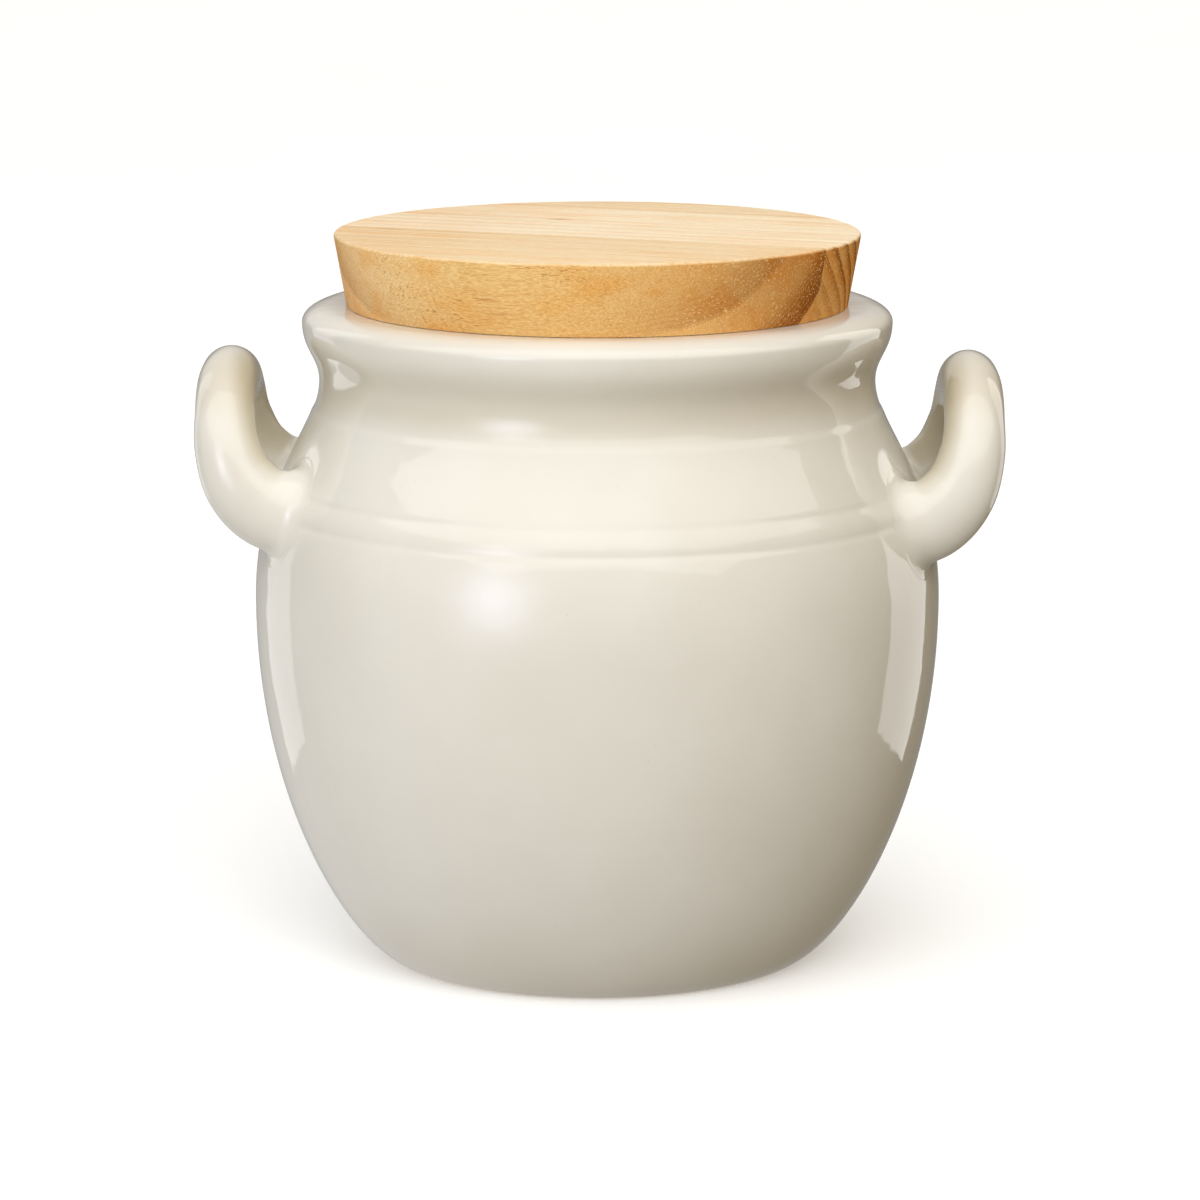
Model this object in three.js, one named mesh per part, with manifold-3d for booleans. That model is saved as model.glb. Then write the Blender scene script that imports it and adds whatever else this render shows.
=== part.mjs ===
// Stoneware jar with two upturned loop handles and a turned wooden lid.
// Millimetres, +Z up, origin at the centre of the foot, handles along X.

import * as THREE from 'three';
import { mergeVertices } from 'three/addons/utils/BufferGeometryUtils.js';
import Module from 'manifold-3d';

const wasm = await Module();
wasm.setup();

// Jar body
const footRadius = 40;
const footRingWidth = 9;
const footRecess = 1.5;
const bellyRadius = 68;
const bellyHeight = 72;
const neckRadius = 55;
const neckHeight = 116;
const lipRadius = 58.3;
const lipHeight = 127.6;
const rimHeight = 130.8;
const seatWidth = 4.5;
const mouthRadius = 46.4;
const mouthRound = 1.6;
const wall = 6;
const floorThickness = 7;

// Raised band around the shoulder, and the fine step above it
const bandHeight = 93.8;
const bandWidth = 6;
const bandRelief = 0.3;
const stepHeight = 110.4;
const stepWidth = 2;
const stepRelief = 0.25;

// Fullness of the turned curves: where each one's pull ends, as a share of its own spread or rise
const footSpreadShare = 0.28;
const bellyRiseShare = 0.4;
const shoulderLowShare = 0.55;
const shoulderHighShare = 0.23;
const lipLowShare = 0.42;
const lipHighShare = 0.46;
const innerShoulderShare = 0.5;
const innerFootShare = 0.3;

// Loop handles: made by hand, so the left one sits a little higher
const leftLoop = { rootHeight: 92.9, top: 121.9, standoff: 11.2 };
const rightLoop = { rootHeight: 90.6, top: 121, standoff: 11.5 };
const handleHalfSpread = 21;
const handleThickness = 11.8;
const handleBreadth = 12;
const rootThickness = 16.6;
const rootBreadth = 13.6;
const rootSink = 6;

// Wooden lid
const lidThickness = 14;
const lidTopRadius = 51.9;
const lidBottomRadius = 49.5;
const lidEdgeRound = 0.6;
const plugDepth = 12;
const grainAngle = -21.5;
const frontJointOffset = -9.5;
const backJointOffset = 35;

// Sealing ring and the gaps between neighbours
const sealHeight = 4.4;
const sealGrooveDepth = 2.6;
const plugClearance = 1.5;
const fitGap = 0.3;

// Roundness of the turned pieces
const turnSegments = 56;

const stoneware = new THREE.MeshStandardMaterial({ color: 0xe9e2d4, roughness: 0.25, metalness: 0 });
const wood = new THREE.MeshStandardMaterial({ color: 0xdcb67e, roughness: 0.6, metalness: 0 });
const silicone = new THREE.MeshStandardMaterial({ color: 0xd9dad6, roughness: 0.5, metalness: 0 });

// Turn a closed (radius, height) outline about the Z axis.
function turned(outline) {
  const geometry = new THREE.LatheGeometry(outline, turnSegments);
  geometry.rotateX(Math.PI / 2);
  return geometry;
}

function toManifold(geometry) {
  const bare = geometry.clone();
  bare.deleteAttribute('normal');
  bare.deleteAttribute('uv');
  const weldDistance = 1e-4;
  const welded = mergeVertices(bare, weldDistance);
  return new wasm.Manifold(new wasm.Mesh({
    numProp: 3,
    vertProperties: new Float32Array(welded.attributes.position.array),
    triVerts: new Uint32Array(welded.index.array),
  }));
}

function toGeometry(solid) {
  const mesh = solid.getMesh();
  const geometry = new THREE.BufferGeometry();
  geometry.setAttribute('position', new THREE.BufferAttribute(mesh.vertProperties, 3));
  geometry.setIndex(new THREE.BufferAttribute(mesh.triVerts, 1));
  geometry.computeVertexNormals();
  return geometry;
}

function piece(name, solid, material) {
  const mesh = new THREE.Mesh(toGeometry(solid), material);
  mesh.name = name;
  return mesh;
}

function bezier(from, control1, control2, to, steps) {
  const curve = new THREE.CubicBezierCurve(
    new THREE.Vector2(...from),
    new THREE.Vector2(...control1),
    new THREE.Vector2(...control2),
    new THREE.Vector2(...to),
  );
  return curve.getPoints(steps);
}

// Arc of an ellipse from angle `start` to `end`, in degrees.
function ellipseArc(centre, radii, start, end, steps) {
  const points = [];
  for (let i = 0; i <= steps; i += 1) {
    const angle = THREE.MathUtils.degToRad(THREE.MathUtils.lerp(start, end, i / steps));
    points.push(new THREE.Vector2(
      centre[0] + radii[0] * Math.cos(angle),
      centre[1] + radii[1] * Math.sin(angle),
    ));
  }
  return points;
}

// Raised band and fine step, added to the plain wall's radius.
function relief(height) {
  const fromBand = Math.abs(height - bandHeight) / (bandWidth / 2);
  const band = fromBand < 1 ? bandRelief * Math.cos(fromBand * Math.PI / 2) ** 2 : 0;
  const stepLow = stepHeight - stepWidth / 2;
  const stepHigh = stepHeight + stepWidth / 2;
  const step = stepRelief * (1 - THREE.MathUtils.smoothstep(height, stepLow, stepHigh));
  const belowShoulder = THREE.MathUtils.smoothstep(height, bellyHeight, bandHeight);
  return band + step * belowShoulder;
}

// Foot to belly, belly to neck, and neck to lip: each curve ends upright.
function bellyCurve() {
  const steps = 9;
  const foot = [footRadius, 0];
  const fromFoot = [footRadius + footSpreadShare * (bellyRadius - footRadius), 0];
  const toBelly = [bellyRadius, bellyRiseShare * bellyHeight];
  return bezier(foot, fromFoot, toBelly, [bellyRadius, bellyHeight], steps);
}

function shoulderCurve() {
  const steps = 16;
  const rise = neckHeight - bellyHeight;
  const belly = [bellyRadius, bellyHeight];
  const neck = [neckRadius, neckHeight];
  const fromBelly = [bellyRadius, bellyHeight + shoulderLowShare * rise];
  const toNeck = [neckRadius, neckHeight - shoulderHighShare * rise];
  return bezier(belly, fromBelly, toNeck, neck, steps);
}

function lipCurve() {
  const steps = 5;
  const rise = lipHeight - neckHeight;
  const neck = [neckRadius, neckHeight];
  const lip = [lipRadius, lipHeight];
  const fromNeck = [neckRadius, neckHeight + lipLowShare * rise];
  const toLip = [lipRadius, lipHeight - lipHighShare * rise];
  return bezier(neck, fromNeck, toLip, lip, steps);
}

function seatInnerRadius() {
  return mouthRadius + mouthRound;
}

function seatOuterRadius() {
  return seatInnerRadius() + seatWidth;
}

// The outside wall from the foot up to the seat, pushed out by `offset`.
function outsideWall(offset) {
  const rimSteps = 5;
  const shoulder = shoulderCurve().slice(1);
  for (const point of shoulder) {
    point.x += relief(point.y);
  }
  const rimRadii = [lipRadius - seatOuterRadius(), rimHeight - lipHeight];
  const rim = ellipseArc([seatOuterRadius(), lipHeight], rimRadii, 0, 90, rimSteps).slice(1);
  const wallPoints = [...bellyCurve(), ...shoulder, ...lipCurve().slice(1), ...rim];
  return wallPoints.map((point) => new THREE.Vector2(point.x + offset, point.y));
}

// The inside wall from the mouth's rounded edge down to the centre of the floor.
function insideWall() {
  const edgeSteps = 3;
  const curveSteps = 6;
  const mouthCentre = [seatInnerRadius(), rimHeight - mouthRound];
  const edge = ellipseArc(mouthCentre, [mouthRound, mouthRound], 90, 180, edgeSteps);
  const innerBelly = bellyRadius - wall;
  const rise = neckHeight - bellyHeight;
  const shoulder = bezier(
    [mouthRadius, neckHeight],
    [mouthRadius, neckHeight - shoulderHighShare * rise],
    [innerBelly, bellyHeight + innerShoulderShare * rise],
    [innerBelly, bellyHeight],
    curveSteps,
  );
  const innerFoot = footRadius - wall;
  const belly = bezier(
    [innerBelly, bellyHeight],
    [innerBelly, floorThickness + bellyRiseShare * (bellyHeight - floorThickness)],
    [innerFoot + innerFootShare * (innerBelly - innerFoot), floorThickness],
    [innerFoot, floorThickness],
    curveSteps,
  ).slice(1);
  return [...edge, ...shoulder, ...belly, new THREE.Vector2(0, floorThickness)];
}

function jarBody() {
  const recessRadius = footRadius - footRingWidth;
  const underside = [
    new THREE.Vector2(0, footRecess),
    new THREE.Vector2(recessRadius - footRecess, footRecess),
    new THREE.Vector2(recessRadius, 0),
  ];
  return toManifold(turned([...underside, ...outsideWall(0), ...insideWall()]));
}

// The jar's outside as a solid block, used to fit the handle roots to the wall.
function rootCutter() {
  const outside = outsideWall(fitGap);
  const top = outside[outside.length - 1].y;
  return toManifold(turned([new THREE.Vector2(0, 0), ...outside, new THREE.Vector2(0, top)]));
}

// Radius of the outside wall at a height on the shoulder or belly.
function wallRadius(height) {
  const points = outsideWall(0);
  const above = points.findIndex((point) => point.y >= height);
  const high = points[above];
  const low = points[above - 1];
  return THREE.MathUtils.mapLinear(height, low.y, high.y, low.x, high.x);
}

// Middle line of a loop on the +X side: out from the front root, up, across and back down.
// Its points are shares of the loop's standoff, spread and rise.
function handlePath({ rootHeight, top, standoff }) {
  const spread = handleHalfSpread;
  const rootX = Math.sqrt(wallRadius(rootHeight) ** 2 - spread ** 2);
  const crown = top - handleThickness / 2;
  const rise = crown - rootHeight;
  const halfLoop = [
    [rootX - rootSink, spread, rootHeight - 0.06 * rise],
    [rootX + 0.3 * standoff, spread, rootHeight + 0.03 * rise],
    [rootX + 0.75 * standoff, spread, rootHeight + 0.24 * rise],
    [rootX + 0.98 * standoff, 0.93 * spread, rootHeight + 0.54 * rise],
    [rootX + 1.03 * standoff, 0.73 * spread, rootHeight + 0.81 * rise],
    [rootX + 1.04 * standoff, 0.39 * spread, rootHeight + 0.96 * rise],
  ];
  const front = halfLoop.map(([x, y, z]) => new THREE.Vector3(x, -y, z));
  const back = halfLoop.map(([x, y, z]) => new THREE.Vector3(x, y, z)).reverse();
  const crownPoint = new THREE.Vector3(rootX + 1.03 * standoff, 0, crown);
  return new THREE.CatmullRomCurve3([...front, crownPoint, ...back], false, 'centripetal');
}

// Oval section swept along the loop, thicker towards both roots.
function handleSweep(loop) {
  const path = handlePath(loop);
  const steps = 36;
  const around = 14;
  const flareStart = 0.3;
  const flareEnd = 0.95;
  const positions = [];
  for (let i = 0; i <= steps; i += 1) {
    const along = i / steps;
    const centre = path.getPointAt(along);
    const tangent = path.getTangentAt(along);
    const towardsRoot = Math.abs(2 * along - 1);
    const outward = new THREE.Vector3(1, 0, -(towardsRoot ** 2));
    const normal = outward.addScaledVector(tangent, -outward.dot(tangent)).normalize();
    const side = new THREE.Vector3().crossVectors(tangent, normal);
    const flare = THREE.MathUtils.smoothstep(towardsRoot, flareStart, flareEnd);
    const thickness = THREE.MathUtils.lerp(handleThickness, rootThickness, flare);
    const breadth = THREE.MathUtils.lerp(handleBreadth, rootBreadth, flare);
    for (let j = 0; j < around; j += 1) {
      const angle = 2 * Math.PI * j / around;
      const point = centre.clone()
        .addScaledVector(normal, thickness / 2 * Math.cos(angle))
        .addScaledVector(side, breadth / 2 * Math.sin(angle));
      positions.push(point.x, point.y, point.z);
    }
  }
  const index = [];
  for (let i = 0; i < steps; i += 1) {
    for (let j = 0; j < around; j += 1) {
      const next = (j + 1) % around;
      const near = i * around;
      const far = near + around;
      index.push(near + j, near + next, far + next);
      index.push(near + j, far + next, far + j);
    }
  }
  const lastRing = steps * around;
  for (let j = 1; j < around - 1; j += 1) {
    index.push(0, j + 1, j);
    index.push(lastRing, lastRing + j, lastRing + j + 1);
  }
  const geometry = new THREE.BufferGeometry();
  geometry.setAttribute('position', new THREE.Float32BufferAttribute(positions, 3));
  geometry.setIndex(index);
  return geometry;
}

function handle(loop, turn) {
  const sweep = handleSweep(loop).rotateZ(turn);
  return toManifold(sweep).subtract(rootCutter());
}

// Lid heights follow from the rim it rests on.
const lidUnderside = rimHeight + fitGap;
const lidTop = lidUnderside + lidThickness;
const plugRadius = mouthRadius - plugClearance;
const plugBottom = lidUnderside - plugDepth;
const sealMiddle = plugBottom + plugDepth / 2;
const grooveRadius = plugRadius - sealGrooveDepth;
const grooveHalf = sealHeight / 2 + fitGap;

// One turned outline: flat disc, plug below it and the ring's groove.
function lidSolid() {
  const steps = 3;
  const round = [lidEdgeRound, lidEdgeRound];
  const lowerCentre = [lidBottomRadius - lidEdgeRound, lidUnderside + lidEdgeRound];
  const upperCentre = [lidTopRadius - lidEdgeRound, lidTop - lidEdgeRound];
  const plugCentre = [plugRadius - lidEdgeRound, plugBottom + lidEdgeRound];
  const lowerEdge = ellipseArc(lowerCentre, round, -90, 0, steps);
  const upperEdge = ellipseArc(upperCentre, round, 0, 90, steps);
  const plugEdge = ellipseArc(plugCentre, round, -90, 0, steps);
  return toManifold(turned([
    new THREE.Vector2(0, plugBottom),
    ...plugEdge,
    new THREE.Vector2(plugRadius, sealMiddle - grooveHalf),
    new THREE.Vector2(grooveRadius, sealMiddle - grooveHalf),
    new THREE.Vector2(grooveRadius, sealMiddle + grooveHalf),
    new THREE.Vector2(plugRadius, sealMiddle + grooveHalf),
    new THREE.Vector2(plugRadius, lidUnderside),
    ...lowerEdge,
    ...upperEdge,
    new THREE.Vector2(0, lidTop),
  ]));
}

// A distance well past the lid's edge, where the outer staves' slabs end.
const pastEdge = 2 * lidTopRadius;

// The slice of the lid between two joints across the grain, parted from its neighbours by the fit gap.
function stave(from, to) {
  const height = 2 * (lidThickness + plugDepth);
  const slab = new THREE.BoxGeometry(2 * pastEdge, to - from - fitGap, height);
  slab.translate(0, (from + to) / 2, (lidTop + plugBottom) / 2);
  slab.rotateZ(THREE.MathUtils.degToRad(grainAngle));
  return lidSolid().intersect(toManifold(slab));
}

// Soft ring: flat inside, bulging outside to meet the mouth.
function sealRing() {
  const steps = 4;
  const inner = grooveRadius + fitGap;
  const outer = mouthRadius - fitGap;
  const bulge = (outer - inner) / 2;
  const arc = ellipseArc([outer - bulge, sealMiddle], [bulge, sealHeight / 2], -90, 90, steps);
  return toManifold(turned([
    new THREE.Vector2(inner, sealMiddle - sealHeight / 2),
    ...arc,
    new THREE.Vector2(inner, sealMiddle + sealHeight / 2),
    new THREE.Vector2(inner, sealMiddle - sealHeight / 2),
  ]));
}

const jar = new THREE.Group();
jar.name = 'stoneware_jar';
jar.add(piece('jar_body', jarBody(), stoneware));
jar.add(piece('left_handle', handle(leftLoop, Math.PI), stoneware));
jar.add(piece('right_handle', handle(rightLoop, 0), stoneware));
jar.add(piece('lid_front_stave', stave(-pastEdge, frontJointOffset), wood));
jar.add(piece('lid_middle_stave', stave(frontJointOffset, backJointOffset), wood));
jar.add(piece('lid_back_stave', stave(backJointOffset, pastEdge), wood));
jar.add(piece('seal_ring', sealRing(), silicone));

export default jar;
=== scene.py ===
"""Glazed stoneware jar with two loop handles and a wooden lid, dressed around its solids."""

import math

import bmesh
import bpy
from mathutils import Matrix, Vector


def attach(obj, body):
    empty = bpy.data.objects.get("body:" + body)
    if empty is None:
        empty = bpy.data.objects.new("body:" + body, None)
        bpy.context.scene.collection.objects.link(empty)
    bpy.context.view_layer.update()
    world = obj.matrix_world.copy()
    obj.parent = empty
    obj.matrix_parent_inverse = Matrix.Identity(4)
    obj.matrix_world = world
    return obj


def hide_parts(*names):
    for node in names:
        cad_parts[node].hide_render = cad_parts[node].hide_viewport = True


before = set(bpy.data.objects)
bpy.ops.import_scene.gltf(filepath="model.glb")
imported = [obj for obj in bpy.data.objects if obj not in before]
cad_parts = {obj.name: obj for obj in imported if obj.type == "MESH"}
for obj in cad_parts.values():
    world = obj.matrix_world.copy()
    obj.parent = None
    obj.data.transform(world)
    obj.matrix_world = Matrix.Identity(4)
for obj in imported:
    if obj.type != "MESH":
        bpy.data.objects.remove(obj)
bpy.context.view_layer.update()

MM = 0.001
MM_PER_METRE = 1000

# Jar body, in millimetres, as in the solids
FOOT_RADIUS = 40
FOOT_RING_WIDTH = 9
FOOT_RECESS = 1.5
BELLY_RADIUS = 68
BELLY_HEIGHT = 72
NECK_RADIUS = 55
NECK_HEIGHT = 116
LIP_RADIUS = 58.3
LIP_HEIGHT = 127.6
RIM_HEIGHT = 130.8
SEAT_WIDTH = 4.5
MOUTH_RADIUS = 46.4
MOUTH_ROUND = 1.6
WALL = 6
FLOOR_THICKNESS = 7
INNER_BELLY = BELLY_RADIUS - WALL
INNER_FOOT = FOOT_RADIUS - WALL
SEAT_INNER = MOUTH_RADIUS + MOUTH_ROUND
SEAT_OUTER = SEAT_INNER + SEAT_WIDTH
SHOULDER_RISE = NECK_HEIGHT - BELLY_HEIGHT
LIP_RISE = LIP_HEIGHT - NECK_HEIGHT

# Raised band, its two grooves and the fine step above them
BAND_HEIGHT = 93.8
BAND_HALF_WIDTH = 2.5
BAND_RELIEF = 0.15
GROOVE_HALF_WIDTH = 1.1
GROOVE_DEPTH = 0.08
STEP_HEIGHT = 110.4
STEP_RELIEF = 0.25
STEP_HALF_WIDTH = 0.9

# Fullness of the turned curves: where each one's pull ends, as a share of its own spread or rise
FOOT_SPREAD_SHARE = 0.28
BELLY_RISE_SHARE = 0.4
SHOULDER_LOW_SHARE = 0.55
SHOULDER_HIGH_SHARE = 0.23
LIP_LOW_SHARE = 0.42
LIP_HIGH_SHARE = 0.46
INNER_SHOULDER_SHARE = 0.5
INNER_FOOT_SHARE = 0.3

# Loop handles
LEFT_LOOP = {"root_height": 92.9, "top": 121.9, "standoff": 11.2}
RIGHT_LOOP = {"root_height": 90.6, "top": 121, "standoff": 11.5}
HANDLE_HALF_SPREAD = 21
HANDLE_THICKNESS = 11.8
HANDLE_BREADTH = 12
ROOT_THICKNESS = 16.6
ROOT_BREADTH = 13.6
ROOT_SINK = 6
FLARE_START = 0.3
FLARE_END = 0.95
FILLET = 3.2
FILLET_OVERREACH = 1.25
FILLET_SINK = 0.35

# Wooden lid and sealing ring
FIT_GAP = 0.3
SEAT_GAP = 0.05
LID_UNDERSIDE = RIM_HEIGHT + SEAT_GAP
LID_THICKNESS = 14
LID_TOP = RIM_HEIGHT + FIT_GAP + LID_THICKNESS
LID_TOP_RADIUS = 51.9
LID_BOTTOM_RADIUS = 49.5
LID_EDGE_ROUND = 0.6
LID_LOW_ROUND = 0.2
PLUG_CLEARANCE = 1.5
PLUG_DEPTH = 12
PLUG_RADIUS = MOUTH_RADIUS - PLUG_CLEARANCE
PLUG_BOTTOM = RIM_HEIGHT + FIT_GAP - PLUG_DEPTH
SEAL_HEIGHT = 4.4
SEAL_MIDDLE = PLUG_BOTTOM + PLUG_DEPTH / 2
SEAL_GROOVE_DEPTH = 2.6
GROOVE_RADIUS = PLUG_RADIUS - SEAL_GROOVE_DEPTH
GRAIN_ANGLE = math.radians(-21.5)
FRONT_JOINT = -9.5
BACK_JOINT = 35
GLUE_LINE = 0.06

# Each stave's wood: the rings' centre across the grain and up, the radius of a ring's pale start, the ring
# width, the radii between which rings show most, the colours of the end grain and of the sanded top, whose
# paleness is partly painted sheen, and the knots as place along and across the grain and strength
FRONT_WOOD = {
    "pith": (-50, 165),
    "first": 20.7,
    "ring": 14.3,
    "strong": (39, 60),
    "end": (0.52, 0.225, 0.05, 1),
    "top": (0.855, 0.665, 0.42, 1),
    "knots": [(-39.8, -11.2, 0.5)],
}
MIDDLE_WOOD = {
    "pith": (-60, 80),
    "first": 85.7,
    "ring": 3.9,
    "strong": (82, 94),
    "end": (0.66, 0.33, 0.09, 1),
    "top": (0.925, 0.775, 0.56, 1),
    "knots": [(-14.2, 15.7, 0.9)],
}
BACK_WOOD = {
    "pith": (90, 175),
    "first": 62,
    "ring": 5.5,
    "strong": (50, 64),
    "end": (0.55, 0.25, 0.06, 1),
    "top": (0.875, 0.70, 0.465, 1),
    "knots": [],
}
RING_WANDER = 3.0
FAINT_RINGS = 0.35
LATE_WOOD_LINE = 1.0
KNOT_HALF_LENGTH = 4.0
KNOT_HALF_WIDTH = 1.9
# Painted sheen that pales the wood towards the grain's left end: where it starts and ends along the grain,
# in millimetres
LEFT_SHEEN_FROM = -36
LEFT_SHEEN_TO = -4

# Colours that all staves share, and tints that multiply a colour
FACE_GRAIN = (0.745, 0.475, 0.18, 1)
DARK_PORE = (0.52, 0.215, 0.055, 1)
PALE_PORE = (0.87, 0.61, 0.30, 1)
# Tints of the painted sheen towards the grain's left end, on the sides and on the sanded top
LEFT_SHEEN_TINT = (1.22, 1.40, 1.85, 1)
SANDED_LEFT_SHEEN_TINT = (0.97, 0.92, 0.87, 1)
RING_START_TINT = (1.22, 1.26, 1.34, 1)
EARLY_WOOD_TINT = (1.02, 1.00, 0.96, 1)
LATE_WOOD_TINT = (0.74, 0.60, 0.44, 1)
RING_END_TINT = (0.54, 0.37, 0.21, 1)
LATE_LINE_TINT = (0.70, 0.56, 0.40, 1)
BLOTCH_TINT = (0.98, 0.82, 0.62, 1)
STREAK_TINT = (0.93, 0.79, 0.60, 1)
DARK_LINE_TINT = (0.91, 0.82, 0.68, 1)
PALE_LINE_TINT = (1.04, 1.08, 1.14, 1)
PALE_FIBRE_TINT = (1.12, 1.18, 1.30, 1)
DARK_FIBRE_TINT = (0.94, 0.80, 0.62, 1)
KNOT_TINT = (0.78, 0.52, 0.27, 1)

# Glaze colours, and tints that multiply them
DEEP_CREAM = (0.725, 0.687, 0.612, 1)
PALE_CREAM = (0.77, 0.737, 0.668, 1)
FLECK = (0.70, 0.65, 0.56, 1)
SPECK = (0.50, 0.40, 0.28, 1)
BARE_CLAY = (0.62, 0.52, 0.40, 1)
# Painted shade in the neck's hollow under the lip and towards the foot:
NECK_AND_FOOT_SHADE_TINT = (0.92, 0.895, 0.84, 1)
# Painted shade on the loops' faces that look back at the jar:
LOOP_INSIDE_SHADE_TINT = (0.74, 0.70, 0.58, 1)

# Camera, in metres and degrees, for a square frame, with its sensor in millimetres
CAMERA_PLACE = (0.00053, -1.055, 0.2722)
CAMERA_PITCH = 10.79
CAMERA_LENS = 161.46
SENSOR_WIDTH = 36

# Lights, in metres and watts; the top light is a sun, with its spread in degrees
JAR_MIDDLE = (0, 0, 0.08)
WHITE = (1, 1, 1)
TOP_DIRECTION = (0.0, -0.4, 0.9)
TOP_STRENGTH = 1.75
TOP_SPREAD = 80
KEY = {
    "place": (-0.71, -1.05, 0.31), "aim": JAR_MIDDLE, "size": (0.6, 0.6), "power": 2.25, "shape": "DISK",
    "colour": (0.92, 0.97, 1.0),
}
GLINT = {
    "place": (-0.71, -1.05, 0.25), "aim": JAR_MIDDLE, "size": (1.8, 1.8), "power": 44, "shape": "DISK",
    "colour": (0.72, 0.77, 1.0),
}
FILL = {
    "place": (0.32, -1.22, 0.85), "aim": JAR_MIDDLE, "size": (1.2, 0.9), "power": 10.1, "shape": "RECTANGLE",
    "colour": (1.0, 0.99, 0.97),
}
LEFT_STRIP = {
    "place": (-0.54, 0.465, 0.25), "aim": (0, 0, 0.25), "size": (0.27, 0.93), "power": 0.6,
    "shape": "RECTANGLE", "colour": WHITE,
}
RIGHT_STRIP = {
    "place": (0.585, 0.41, 0.25), "aim": (0, 0, 0.25), "size": (0.36, 0.93), "power": 1.55,
    "shape": "RECTANGLE", "colour": WHITE,
}
OVERHEAD_CARD = {
    "place": (0.1, -0.7, 0.65), "aim": (0.1, -0.7, 0), "size": (2.2, 1.4), "power": 12.0,
    "shape": "RECTANGLE", "colour": WHITE,
}
LEFT_ROOM_COLOUR = (1.0, 0.985, 0.96, 1)
RIGHT_ROOM_COLOUR = (1.0, 0.73, 0.25, 1)

# Half the width of the studio floor, in millimetres
FLOOR_REACH = 8000

# Fineness and tolerances of the meshes, and the angles in degrees from which an edge is sharp
TURN_SEGMENTS = 224
BELLY_STEPS = 48
SHOULDER_STEPS = 150
LIP_STEPS = 20
RIM_STEPS = 16
MOUTH_STEPS = 10
INSIDE_STEPS = 40
PLUG_EDGE_STEPS = 5
LOW_EDGE_STEPS = 4
TOP_EDGE_STEPS = 6
SEAL_STEPS = 16
PATH_STEPS = 40
LOOP_STATIONS = 220
LOOP_AROUND = 56
LOOP_RINGS = 120
FILLET_STEPS = 10
AXIS_TOLERANCE = 1e-6
CUT_TOLERANCE = 1e-7
SHARP_DEGREES = 38
LOOP_SHARP_DEGREES = 60
LID_SHARP_DEGREES = 30


# Outlines

def lerp(a, b, t):
    return a + (b - a) * t


def smoothstep(x, low, high):
    t = min(max((x - low) / (high - low), 0.0), 1.0)
    return t * t * (3 - 2 * t)


def bezier(start, control1, control2, end, steps):
    """Points of a cubic curve in (radius, height)."""
    points = []
    for i in range(steps + 1):
        t = i / steps
        weights = ((1 - t) ** 3, 3 * t * (1 - t) ** 2, 3 * t * t * (1 - t), t ** 3)
        corners = (start, control1, control2, end)
        points.append(tuple(sum(w * c[k] for w, c in zip(weights, corners)) for k in range(2)))
    return points


def ellipse_arc(centre, radii, start, end, steps):
    """Points of an ellipse between two angles in degrees."""
    points = []
    for i in range(steps + 1):
        angle = math.radians(lerp(start, end, i / steps))
        points.append((centre[0] + radii[0] * math.cos(angle), centre[1] + radii[1] * math.sin(angle)))
    return points


def ridge(x, half_width):
    """1 at x = 0, falling smoothly to 0 at the half width."""
    if abs(x) >= half_width:
        return 0.0
    return math.cos(x / half_width * math.pi / 2) ** 2


def relief(height):
    """Raised band with a groove on each side, and the fine step above it."""
    band = BAND_RELIEF * ridge(height - BAND_HEIGHT, BAND_HALF_WIDTH)
    for side in (-1, 1):
        edge = BAND_HEIGHT + side * BAND_HALF_WIDTH
        band -= GROOVE_DEPTH * ridge(height - edge, GROOVE_HALF_WIDTH)
    step_low = STEP_HEIGHT - STEP_HALF_WIDTH
    step_high = STEP_HEIGHT + STEP_HALF_WIDTH
    step = STEP_RELIEF * (1 - smoothstep(height, step_low, step_high))
    return band + step * smoothstep(height, BELLY_HEIGHT, BAND_HEIGHT)


def outside_wall():
    """The jar's outside from the foot up to the lid's seat."""
    foot = (FOOT_RADIUS, 0)
    foot_spread = (FOOT_RADIUS + FOOT_SPREAD_SHARE * (BELLY_RADIUS - FOOT_RADIUS), 0)
    belly_low = (BELLY_RADIUS, BELLY_RISE_SHARE * BELLY_HEIGHT)
    belly = (BELLY_RADIUS, BELLY_HEIGHT)
    belly_high = (BELLY_RADIUS, BELLY_HEIGHT + SHOULDER_LOW_SHARE * SHOULDER_RISE)
    neck_low = (NECK_RADIUS, NECK_HEIGHT - SHOULDER_HIGH_SHARE * SHOULDER_RISE)
    neck = (NECK_RADIUS, NECK_HEIGHT)
    neck_high = (NECK_RADIUS, NECK_HEIGHT + LIP_LOW_SHARE * LIP_RISE)
    lip_low = (LIP_RADIUS, LIP_HEIGHT - LIP_HIGH_SHARE * LIP_RISE)
    lip = (LIP_RADIUS, LIP_HEIGHT)
    shoulder = bezier(belly, belly_high, neck_low, neck, SHOULDER_STEPS)[1:]
    shoulder = [(radius + relief(height), height) for radius, height in shoulder]
    rim_radii = (LIP_RADIUS - SEAT_OUTER, RIM_HEIGHT - LIP_HEIGHT)
    return (
        bezier(foot, foot_spread, belly_low, belly, BELLY_STEPS)
        + shoulder
        + bezier(neck, neck_high, lip_low, lip, LIP_STEPS)[1:]
        + ellipse_arc((SEAT_OUTER, LIP_HEIGHT), rim_radii, 0, 90, RIM_STEPS)[1:]
    )


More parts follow.
